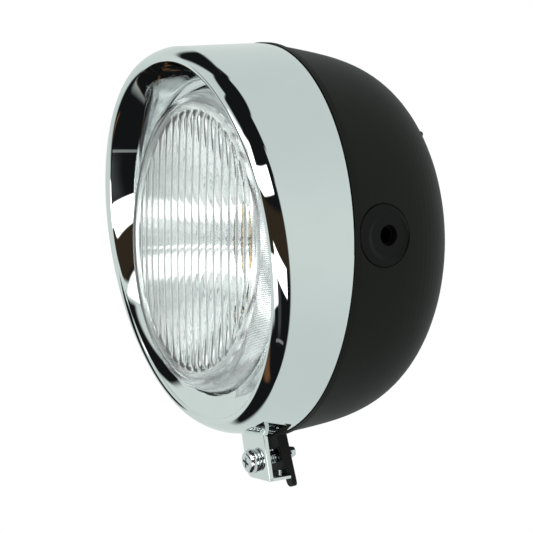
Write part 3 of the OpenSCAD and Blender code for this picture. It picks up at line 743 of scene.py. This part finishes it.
# %% The ring's skin
RING_TAPER = 1.9
CREASE_DEPTH = 27
CREASE_BEFORE = (-0.06, -0.9)
CREASE_AFTER = (0.24, 0.84)
REAR_EDGE = ((0.25, 0.3), (0.06, 0.37), (0.02, 0.6))
BAND_START = REAR_EDGE[-1][1]
SHOULDER_PULL = 1.95
WALL_PULL = (2.8, 4.3)
OPENING_R = 62.9
SEAT_DEPTH = 22.4
SEAT_ROUND = ((-3.3, 1.2), (-2, 0.15), (-0.2, 0.02), (0, 0))
BAND_STEPS = 8
CREASE_STEPS = 4
SHOULDER_STEPS = 14
WALL_STEPS = 16

crease_r = RING_REAR_R - RING_TAPER
crease = (crease_r, -CREASE_DEPTH)
before_crease = (crease_r - CREASE_BEFORE[0], -CREASE_DEPTH - CREASE_BEFORE[1])
after_crease = (crease_r - CREASE_AFTER[0], -CREASE_DEPTH - CREASE_AFTER[1])
band_length = -before_crease[1] - BAND_START
shoulder_pull = (roll[0][0] + SHOULDER_PULL, roll[0][1] + SHOULDER_PULL)
wall_pull = (roll[-1][0] - WALL_PULL[0], roll[-1][1] + WALL_PULL[1])
seat = [(OPENING_R - inward, -SEAT_DEPTH - ahead) for inward, ahead in SEAT_ROUND]

skin = [(RING_REAR_R - inward, -ahead) for inward, ahead in REAR_EDGE]
for step in range(1, BAND_STEPS):
    t = step / BAND_STEPS
    skin.append((RING_REAR_R - RING_TAPER * t, -BAND_START - band_length * t))
skin += bend(before_crease, crease, after_crease, CREASE_STEPS)
skin += bend(after_crease, shoulder_pull, roll[0], SHOULDER_STEPS)[1:-1] + roll
skin += bend(roll[-1], wall_pull, seat[0], WALL_STEPS)[1:] + seat[1:]
print("skin of", len(skin), "points")

# %% [markdown]
# Reflections show every facet, so the spin is fine. A ring that leans can't come from a spin
# alone. So afterwards each point moves forwards by its height times its own share of the
# lean, which slants the lip and leaves the band's rear edge and the seat upright.

# %% Chrome ring
SHEET = 0.9
RING_STEPS = 288
RIM_LEAN = 0.14
LEAN_FROM = SEAT_DEPTH + 0.5


def sheet_back(path, thick):
    """The rear face of a sheet, one thickness behind its skin."""
    back = []
    for i, (r, y) in enumerate(path):
        (r0, y0), (r1, y1) = path[max(i - 1, 0)], path[min(i + 1, len(path) - 1)]
        length = math.hypot(r1 - r0, y1 - y0)
        back.append((r + (y1 - y0) / length * thick, y - (r1 - r0) / length * thick))
    return back[::-1]


def lean_at(radius, depth):
    """Share of the lean: none at the bowl and at the seat, all of it at the lip."""
    if radius > ROLL_AT[0]:
        return min(1.0, -depth / CREASE_DEPTH)
    return max(0.0, min(1.0, (-depth - LEAN_FROM) / (-ROLL_AT[1] - LEAN_FROM)))


bm = bmesh.new()
turn(bm, skin + sheet_back(skin, SHEET), RING_STEPS)
for vert in bm.verts:
    vert.co.y -= RIM_LEAN * lean_at(radius_of(vert), vert.co.y / MM) * vert.co.z
finish_piece(bm, "bright_ring", chrome, "chrome_ring", smooth=60)

# %% [markdown]
# The reflector is a pressed parabola with a mirror coat. A paraboloid sends the bulb's light
# straight ahead, and it also carries the room into the glass, so it has to be truly smooth.
# Its curve is one formula, and the flange round it and the neck behind it are the rest of the
# same profile.

# %% Reflector
FOCAL = 22.0
NECK_R = 14.0
DISH_R = 62.0
DISH_SHEET = 0.8
DISH_STEPS = 48
DISH_SPIN = 192
FLANGE_R = 67.0
FLANGE_BEND = 0.3
FLANGE_REAR_BEND = 1.2
BACK_OUT, BACK_BEHIND = 0.6, 0.5

mirror_low, mirror_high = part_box("reflector")
flange_y = (mirror_low.y - seam_y) / MM
neck_end = (mirror_high.y - seam_y) / MM
flange_rear_y = flange_y + DISH_SHEET
vertex = flange_rear_y + DISH_R ** 2 / (4 * FOCAL)
radii = [NECK_R + (DISH_R - NECK_R) * i / DISH_STEPS for i in range(DISH_STEPS + 1)]
parabola = [(r, vertex - r * r / (4 * FOCAL)) for r in radii]
front = [(NECK_R, neck_end)] + parabola + [(DISH_R + FLANGE_BEND, flange_y), (FLANGE_R, flange_y)]
back = [(FLANGE_R, flange_rear_y), (DISH_R + FLANGE_REAR_BEND, flange_rear_y)]
back += [(r + BACK_OUT, y + BACK_BEHIND) for r, y in parabola[::-1]]
back.append((NECK_R + BACK_OUT, neck_end))
bm = bmesh.new()
turn(bm, front + back, DISH_SPIN)
finish_piece(bm, "silvered_dish", mirror, "reflector")

# %% [markdown]
# The glass is pressed in one piece. Its outside is smooth: a slightly crowned face, a
# rounded shoulder, a steep skirt and the flange that the ring holds. Its inside repeats
# them, one wall further in. A spin can't close its own middle, so the profile starts a hair
# beside the axis, and the innermost ring is merged to one point afterwards. The bends of the
# shoulder are given from the shoulder's radius and from the face in front of it or behind it.

# %% The glass's profile
SKIRT_GAP = 0.6
SKIRT_R = OPENING_R - SKIRT_GAP
SHOULDER_R = SKIRT_R - 4
FACE_AT = -30.8
CROWN = 2.6
CROWN_STEPS = 12
CROWN_R = SHOULDER_R - 2
SHOULDER_OUTSIDE = ((-2, -0.17), (0.2, 0.1), (1.6, 2.4))
SHOULDER_INSIDE = ((-1.2, 1.6), (-2.6, 0))
BEND_STEPS = 8
WALL = 3.2
SKIRT_WALL = 2.2
FLANGE_THICK = 3
HUB = 0.02
FLUTE_FIELD = 52.8
FIELD_RIM = 1.0
flat_y = FACE_AT + WALL
flange_rear = (glass_high.y - seam_y) / MM
flange_front = flange_rear - FLANGE_THICK


def crowned(radius):
    """A point of the crowned face, which is furthest forward at its middle."""
    return (radius, FACE_AT - CROWN * (1 - (radius / SHOULDER_R) ** 2))


face = [crowned(CROWN_R * (i + HUB) / CROWN_STEPS) for i in range(CROWN_STEPS)]
shoulder = bend(*[(SHOULDER_R + r, FACE_AT + y) for r, y in SHOULDER_OUTSIDE], BEND_STEPS)
flange = [(SKIRT_R, flange_front), (FLANGE_R, flange_front), (FLANGE_R, flange_rear)]
inside = [(SKIRT_R - SKIRT_WALL, flange_rear)]
inside += [(SHOULDER_R + r, flat_y + y) for r, y in SHOULDER_INSIDE]
inside.append((FLUTE_FIELD + FIELD_RIM, flat_y))
print("profile of", len(face + shoulder + flange + inside), "points")

# %% [markdown]
# The ribs are pressed into the inside of the skirt. The spin takes two steps for each rib,
# so a rib is made by moving every second spoke of the skirt a little inwards. The flat
# inside is left open, because the flutes will close it.

# %% Body of the glass, with its ribs
RIB_DEEP = 0.3
HUB_R = 0.5
RIBBED_IN = SHOULDER_R - 2.0
RIBBED_OUT = SKIRT_R - 2.1
RIBBED_BEHIND = flat_y + 0.5
spokes = RIBS * 2

bm = bmesh.new()
turn(bm, face + shoulder + flange + inside, spokes, closed=False)
hub = [v for v in bm.verts if radius_of(v) < HUB_R]
bmesh.ops.pointmerge(bm, verts=hub, merge_co=(0, (FACE_AT - CROWN) * MM, 0))
for vert in bm.verts:
    radius = radius_of(vert)
    on_skirt = RIBBED_IN < radius < RIBBED_OUT and vert.co.y / MM > RIBBED_BEHIND
    spoke = round(math.atan2(vert.co.z, vert.co.x) / (2 * math.pi) * spokes)
    if on_skirt and spoke % 2:
        vert.co.x *= 1 - RIB_DEEP / radius
        vert.co.z *= 1 - RIB_DEEP / radius
print("body of the glass:", len(bm.faces), "faces")

# %% [markdown]
# Upright flutes on the inside spread the beam sideways. Each is a shallow round trough, and
# they die away before their round field ends. A texture could fake them, but glass bends
# light by its real shape. So a fine grid is laid on the flat inside and trimmed to a circle
# by many straight cuts.

# %% Grid for the flutes, trimmed to their round field
FLUTE_PITCH = 6.4
FLUTE_STEPS = 12
FLUTE_ROWS = 90
TRIMS = 120
WELD = 1e-7

flutes = 2 * math.ceil(FLUTE_FIELD / FLUTE_PITCH)
half_grid = flutes * FLUTE_PITCH * MM / 2
columns = flutes * FLUTE_STEPS
grid = bmesh.ops.create_grid(bm, x_segments=columns, y_segments=FLUTE_ROWS, size=half_grid)
sheet = grid["verts"]
upright = Matrix.Rotation(math.pi / 2, 3, "X")
bmesh.ops.rotate(bm, verts=sheet, cent=(0, 0, 0), matrix=upright)
bmesh.ops.translate(bm, verts=sheet, vec=(0, flat_y * MM, 0))
for i in range(TRIMS):
    a = 2 * math.pi * i / TRIMS
    outwards = Vector((math.cos(a), 0, math.sin(a)))
    kept_verts = [v for v in sheet if v.is_valid]
    kept_faces = {f for v in kept_verts for f in v.link_faces}
    kept_edges = {e for v in kept_verts for e in v.link_edges}
    cut = bmesh.ops.bisect_plane(
        bm, geom=kept_verts + list(kept_edges) + list(kept_faces), dist=WELD,
        plane_co=outwards * FLUTE_FIELD * MM, plane_no=outwards, clear_outer=True,
    )
    new_verts = [v for v in cut["geom_cut"] if isinstance(v, bmesh.types.BMVert)]
    sheet = [v for v in kept_verts if v.is_valid] + [v for v in new_verts if v not in kept_verts]
print("flutes across:", flutes, "on", len(sheet), "points")

# %% [markdown]
# Now each point of the grid rises by the depth of the flute it lies on. The rim of the grid
# stays flat, so that the gap between it and the skirt can be filled to close the glass.

# %% Flutes on the inner face
FLUTE_DEEP = 1.1
FLUTE_FADE = 2.4
flute_radius = (FLUTE_PITCH ** 2 / 4 + FLUTE_DEEP ** 2) / (2 * FLUTE_DEEP)


def flute_rise(x, z):
    """Depth of the flutes in millimetres. They die away before the edge of their field."""
    across = (x / FLUTE_PITCH) % 1 - 0.5
    rise = math.sqrt(flute_radius ** 2 - (across * FLUTE_PITCH) ** 2) - (flute_radius - FLUTE_DEEP)
    t = max(0.0, min(1.0, (FLUTE_FIELD - math.hypot(x, z)) / FLUTE_FADE))
    return rise * t * t * (3 - 2 * t)


for vert in sheet:
    vert.co.y = (flat_y - flute_rise(vert.co.x / MM, vert.co.z / MM)) * MM
bmesh.ops.remove_doubles(bm, verts=bm.verts, dist=WELD)
open_rims = [e for e in bm.edges if e.is_boundary]
bmesh.ops.triangle_fill(bm, edges=open_rims, use_beauty=True)
print("open edges left in the glass:", sum(1 for e in bm.edges if not e.is_manifold))
finish_piece(bm, "fluted_glass", lens_glass, "glass_lens", smooth=30)

# %% [markdown]
# The tab is spot welded inside the ring, carries the clamp screw and ends in a small foot.
# Tab and screw lean back together, so both are drawn in a frame of their own: its origin is
# where the screw meets the tab's front face, and its Y runs along the screw.

# %% The clamp's frame
TAB_FRONT = -1.65
CLAMP_TILT = 9
SCREW_BELOW = 10.4
TAB_LOW = -8.0
FOOT_DROOP = 4
CLAMP = (
    BEAM
    @ Matrix.Translation((0, TAB_FRONT * MM, -(RING_REAR_R + SCREW_BELOW) * MM))
    @ Matrix.Rotation(math.radians(CLAMP_TILT), 4, "X")
)
FOOT = (
    Matrix.Translation((0, 0, TAB_LOW * MM))
    @ Matrix.Rotation(math.radians(-FOOT_DROOP), 4, "X")
)
print("clamp at", [round(c, 4) for c in CLAMP.translation])

# %% [markdown]
# The tab is thin polished sheet, and what shows that is the bright line along each edge. So
# plate, foot and lip each start as a cube, and every edge gets a narrow bevel. A bevel
# modifier gives all edges one width, and here the one round corner has its own.

# %% Polished tab
TAB_W = 20
TAB_SHEET = 2.0
TAB_TOP = 14.0
TAB_CORNER = 3.5
FOOT_LEN = 10.0
FOOT_SHEET = 1.4
LIP_FROM = 1.6
LIP_W = 2.0
LIP_H = 1.5
SUNK = 0.1
EDGE_BEVEL = 0.3
CORNER_STEPS = 8
EDGE_STEPS = 3
SHARP = math.radians(30)


def block(bm, low, high, place=Matrix.Identity(4)):
    """Adds a box between two corners given in millimetres."""
    made = bmesh.ops.create_cube(bm, size=MM)["verts"]
    size = [h - l for l, h in zip(low, high)]
    bmesh.ops.scale(bm, verts=made, vec=size)
    bmesh.ops.translate(bm, verts=made, vec=[(l + h) / 2 * MM for l, h in zip(low, high)])
    bmesh.ops.transform(bm, matrix=place, verts=made)


def round_edges(bm, edges, width, segments):
    bmesh.ops.bevel(
        bm, geom=edges, offset=width * MM, offset_type="OFFSET", affect="EDGES",
        segments=segments, profile=0.5, material=-1,
    )


bm = bmesh.new()
block(bm, (-TAB_W / 2, 0, TAB_LOW), (TAB_W / 2, TAB_SHEET, TAB_TOP))
corner = [e for e in bm.edges if all(v.co.x < 0 and v.co.z < 0 for v in e.verts)]
round_edges(bm, corner, TAB_CORNER, CORNER_STEPS)
foot_rear = FOOT_LEN - FOOT_SHEET
block(bm, (-TAB_W / 2 + TAB_CORNER, SUNK, 0), (TAB_W / 2, FOOT_LEN, FOOT_SHEET), FOOT)
block(bm, (LIP_FROM, foot_rear, SUNK), (LIP_FROM + LIP_W, FOOT_LEN, FOOT_SHEET + LIP_H), FOOT)
sharp_edges = [e for e in bm.edges if e.calc_face_angle(0) > SHARP]
round_edges(bm, sharp_edges, EDGE_BEVEL, EDGE_STEPS)
finish_piece(bm, "polished_tab", chrome, "ring_tab", place=CLAMP)

# %% [markdown]
# The clamp screw is a cross-headed machine screw. Its thread is too fine for the packed
# model, but in the gap behind the tab it is the first thing the eye finds. At this size a
# stack of turned grooves looks the same as a helix, and the spin makes them all at once.

# %% Screw with its thread
HEAD_TOP = -4.7
HEAD_SEAT = -1.3
HEAD_R = 5.1
HEAD_FLAT_R = 2.9
HEAD_PULL = (0.3, 0.1)
HEAD_BAND = 0.9
HEAD_EDGE = (0.15, 0.4)
HEAD_STEPS = 8
SHANK_R = 2.5
THREAD_R = 2.85
THREAD_DEEP = 0.5
THREAD_PITCH = 0.95
CREST_FROM, CREST_TO = 0.4, 0.55
THREAD_GAP = 0.2
THREAD_END = 9.4
REAR_DEEP = 0.35
SCREW_TIP = 17.7
TIP_LENGTH = 0.6
TIP_IN = 0.5
TIP_HOLE = 0.05
SCREW_SPIN = 40


def thread(start, end, crest, deep):
    """Grooves along a shank, as points of (radius, depth)."""
    points = []
    for i in range(int((end - start) / THREAD_PITCH)):
        y = start + i * THREAD_PITCH
        points.append((crest - deep, y))
        points += [(crest, y + share * THREAD_PITCH) for share in (CREST_FROM, CREST_TO)]
    return points


dome_pull = (HEAD_R - HEAD_PULL[0], HEAD_TOP + HEAD_PULL[1])
head = bend((HEAD_FLAT_R, HEAD_TOP), dome_pull, (HEAD_R, HEAD_SEAT - HEAD_BAND), HEAD_STEPS)
head += [(HEAD_R, HEAD_SEAT - HEAD_EDGE[1]), (HEAD_R - HEAD_EDGE[0], HEAD_SEAT)]
head.append((THREAD_R, HEAD_SEAT))
shank = thread(THREAD_GAP, THREAD_END, THREAD_R, THREAD_DEEP) + [(SHANK_R, THREAD_END)]
shank += thread(THREAD_END + THREAD_GAP, SCREW_TIP - TIP_LENGTH, SHANK_R, REAR_DEEP)
shank += [(SHANK_R - TIP_IN, SCREW_TIP), (TIP_HOLE, SCREW_TIP)]
bm = bmesh.new()
turn(bm, head + shank, SCREW_SPIN, closed=False)
print("screw of", len(bm.faces), "faces, still open at both ends")

# %% [markdown]
# The cross is a recess in the flat of the head. Cutting it with a boolean could leave
# slivers. Instead its outline is drawn in the open flat, the flat is filled round it, and
# the outline's edges are extruded down to a floor. The last fill closes the screw's tip.

# %% Cross recess
CROSS_ARM = 2.3
CROSS_HALF = 0.55
CROSS_DEEP = 1.5
CROSS_TURN = math.radians(20)

open_edges = [e for e in bm.edges if e.is_boundary]
head_rim = [e for e in open_edges if e.verts[0].co.y < HEAD_SEAT * MM]
quarter = [(CROSS_HALF, CROSS_HALF), (CROSS_HALF, CROSS_ARM), (-CROSS_HALF, CROSS_ARM)]
outline = []
for _ in range(4):
    outline += quarter
    quarter = [(-z, x) for x, z in quarter]
cross = [bm.verts.new((x * MM, HEAD_TOP * MM, z * MM)) for x, z in outline]
mouth = [bm.edges.new(pair) for pair in zip(cross, cross[1:] + cross[:1])]
bmesh.ops.rotate(bm, verts=cross, cent=(0, 0, 0), matrix=Matrix.Rotation(CROSS_TURN, 3, "Y"))
bmesh.ops.triangle_fill(bm, edges=head_rim + mouth, use_beauty=True)
walls = bmesh.ops.extrude_edge_only(bm, edges=mouth)["geom"]
low_verts = [v for v in walls if isinstance(v, bmesh.types.BMVert)]
bmesh.ops.translate(bm, verts=low_verts, vec=(0, CROSS_DEEP * MM, 0))
wall_edges = [e for e in walls if isinstance(e, bmesh.types.BMEdge)]
bottom = [e for e in wall_edges if all(v in low_verts for v in e.verts)]
bmesh.ops.contextual_create(bm, geom=bottom)
tip = [e for e in bm.edges if e.is_boundary]
bmesh.ops.contextual_create(bm, geom=tip)
print("open edges left in the screw:", sum(1 for e in bm.edges if not e.is_manifold))
finish_piece(bm, "cross_screw", zinc, "clamp_screw", place=CLAMP, smooth=35)

# %% [markdown]
# Under the head lie a spring washer and a flat washer, both a little smaller than the head.
# A turned ring with broken edges is all they need, so one function makes both.

# %% Washers under the head
WASHER_BORE = 2.95
WASHER_EDGE = 0.15
WASHER_SPIN = 48


def washer(name, outer, front, back, material, stands_for):
    """A flat ring whose outer edges are broken."""
    bm = bmesh.new()
    ring = [
        (WASHER_BORE, front), (outer - WASHER_EDGE, front), (outer, front + WASHER_EDGE),
        (outer, back - WASHER_EDGE), (outer - WASHER_EDGE, back), (WASHER_BORE, back),
    ]
    turn(bm, ring, WASHER_SPIN)
    finish_piece(bm, name, material, stands_for, place=CLAMP)


washer(
    "spring_washer", outer=4.4, front=-1.28, back=-0.62,
    material=spring_steel, stands_for="clamp_spring_washer",
)
washer(
    "flat_washer", outer=4.7, front=-0.6, back=-0.02,
    material=zinc, stands_for="clamp_washer",
)
